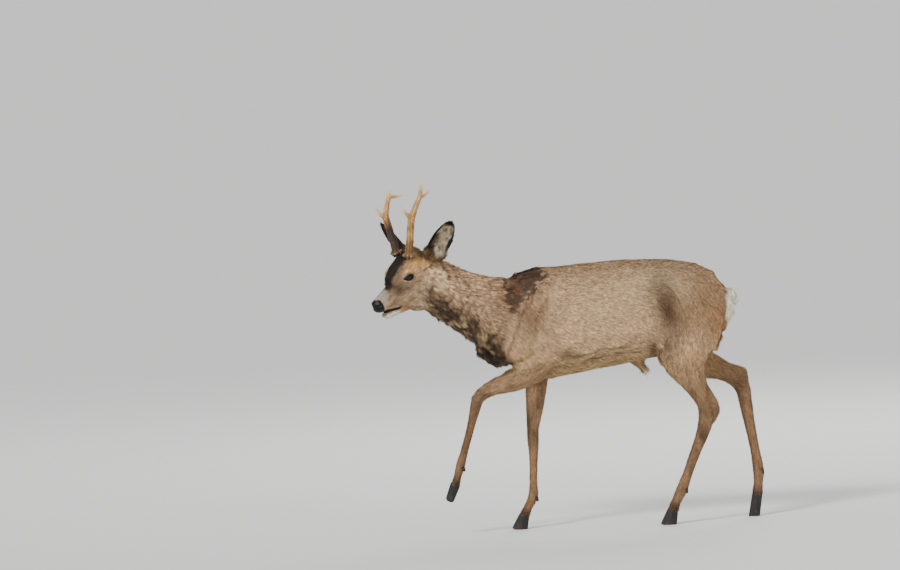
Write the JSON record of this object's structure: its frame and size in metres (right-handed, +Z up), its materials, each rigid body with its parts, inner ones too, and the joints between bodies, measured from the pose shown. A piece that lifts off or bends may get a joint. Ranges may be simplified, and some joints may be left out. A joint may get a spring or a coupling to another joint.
{
  "type": "roe deer",
  "caption": "Adult roe deer buck in late-winter coat with forked antlers, walking with one forefoot lifted and its head turned to the side.",
  "frame": {"origin": "middle of the deer's bounding box in plan, on the floor it stands on", "axes": "the deer faces -X, its left side faces -Y and +Z is up"},
  "size_m": [1.004, 0.28, 0.9344],
  "materials": {
    "coat": "soft short hair, grey-brown",
    "face_coat": "very short soft hair",
    "ear_coat": "short soft hair with a dark rim",
    "shank_coat": "very short flat hair",
    "rump_patch": "soft white hair",
    "antler": "dry ridged bone, stained brown with pale tips",
    "eye": "wet dark gloss",
    "hoof": "satin black horn"
  },
  "bodies": {
    "root": {"foreleg_left_upper": "coat", "foreleg_left_cannon": "shank_coat", "foreleg_left_pastern": "shank_coat", "hoof_foreleg_left_outer": "hoof", "dewclaw_foreleg_left_outer": "hoof", "hoof_foreleg_left_inner": "hoof", "dewclaw_foreleg_left_inner": "hoof", "foreleg_right_upper": "coat", "foreleg_right_cannon": "shank_coat", "foreleg_right_pastern": "shank_coat", "hoof_foreleg_right_outer": "hoof", "dewclaw_foreleg_right_outer": "hoof", "hoof_foreleg_right_inner": "hoof", "dewclaw_foreleg_right_inner": "hoof", "hindleg_left_upper": "coat", "hindleg_left_cannon": "shank_coat", "hindleg_left_pastern": "shank_coat", "hoof_hindleg_left_outer": "hoof", "dewclaw_hindleg_left_outer": "hoof", "hoof_hindleg_left_inner": "hoof", "dewclaw_hindleg_left_inner": "hoof", "hindleg_right_upper": "coat", "hindleg_right_cannon": "shank_coat", "hindleg_right_pastern": "shank_coat", "hoof_hindleg_right_outer": "hoof", "dewclaw_hindleg_right_outer": "hoof", "hoof_hindleg_right_inner": "hoof", "dewclaw_hindleg_right_inner": "hoof", "head": "face_coat", "lower_jaw": "face_coat", "neck": "coat", "trunk": "coat", "tail": "rump_patch", "ear_left": "ear_coat", "ear_right": "ear_coat", "eye_left": "eye", "eye_right": "eye", "antler_left_lower_beam": "antler", "antler_left_upper_beam": "antler", "antler_left_front_tine": "antler", "antler_left_rear_tine": "antler", "antler_right_lower_beam": "antler", "antler_right_upper_beam": "antler", "antler_right_front_tine": "antler", "antler_right_rear_tine": "antler"}
  },
  "joints": []
}
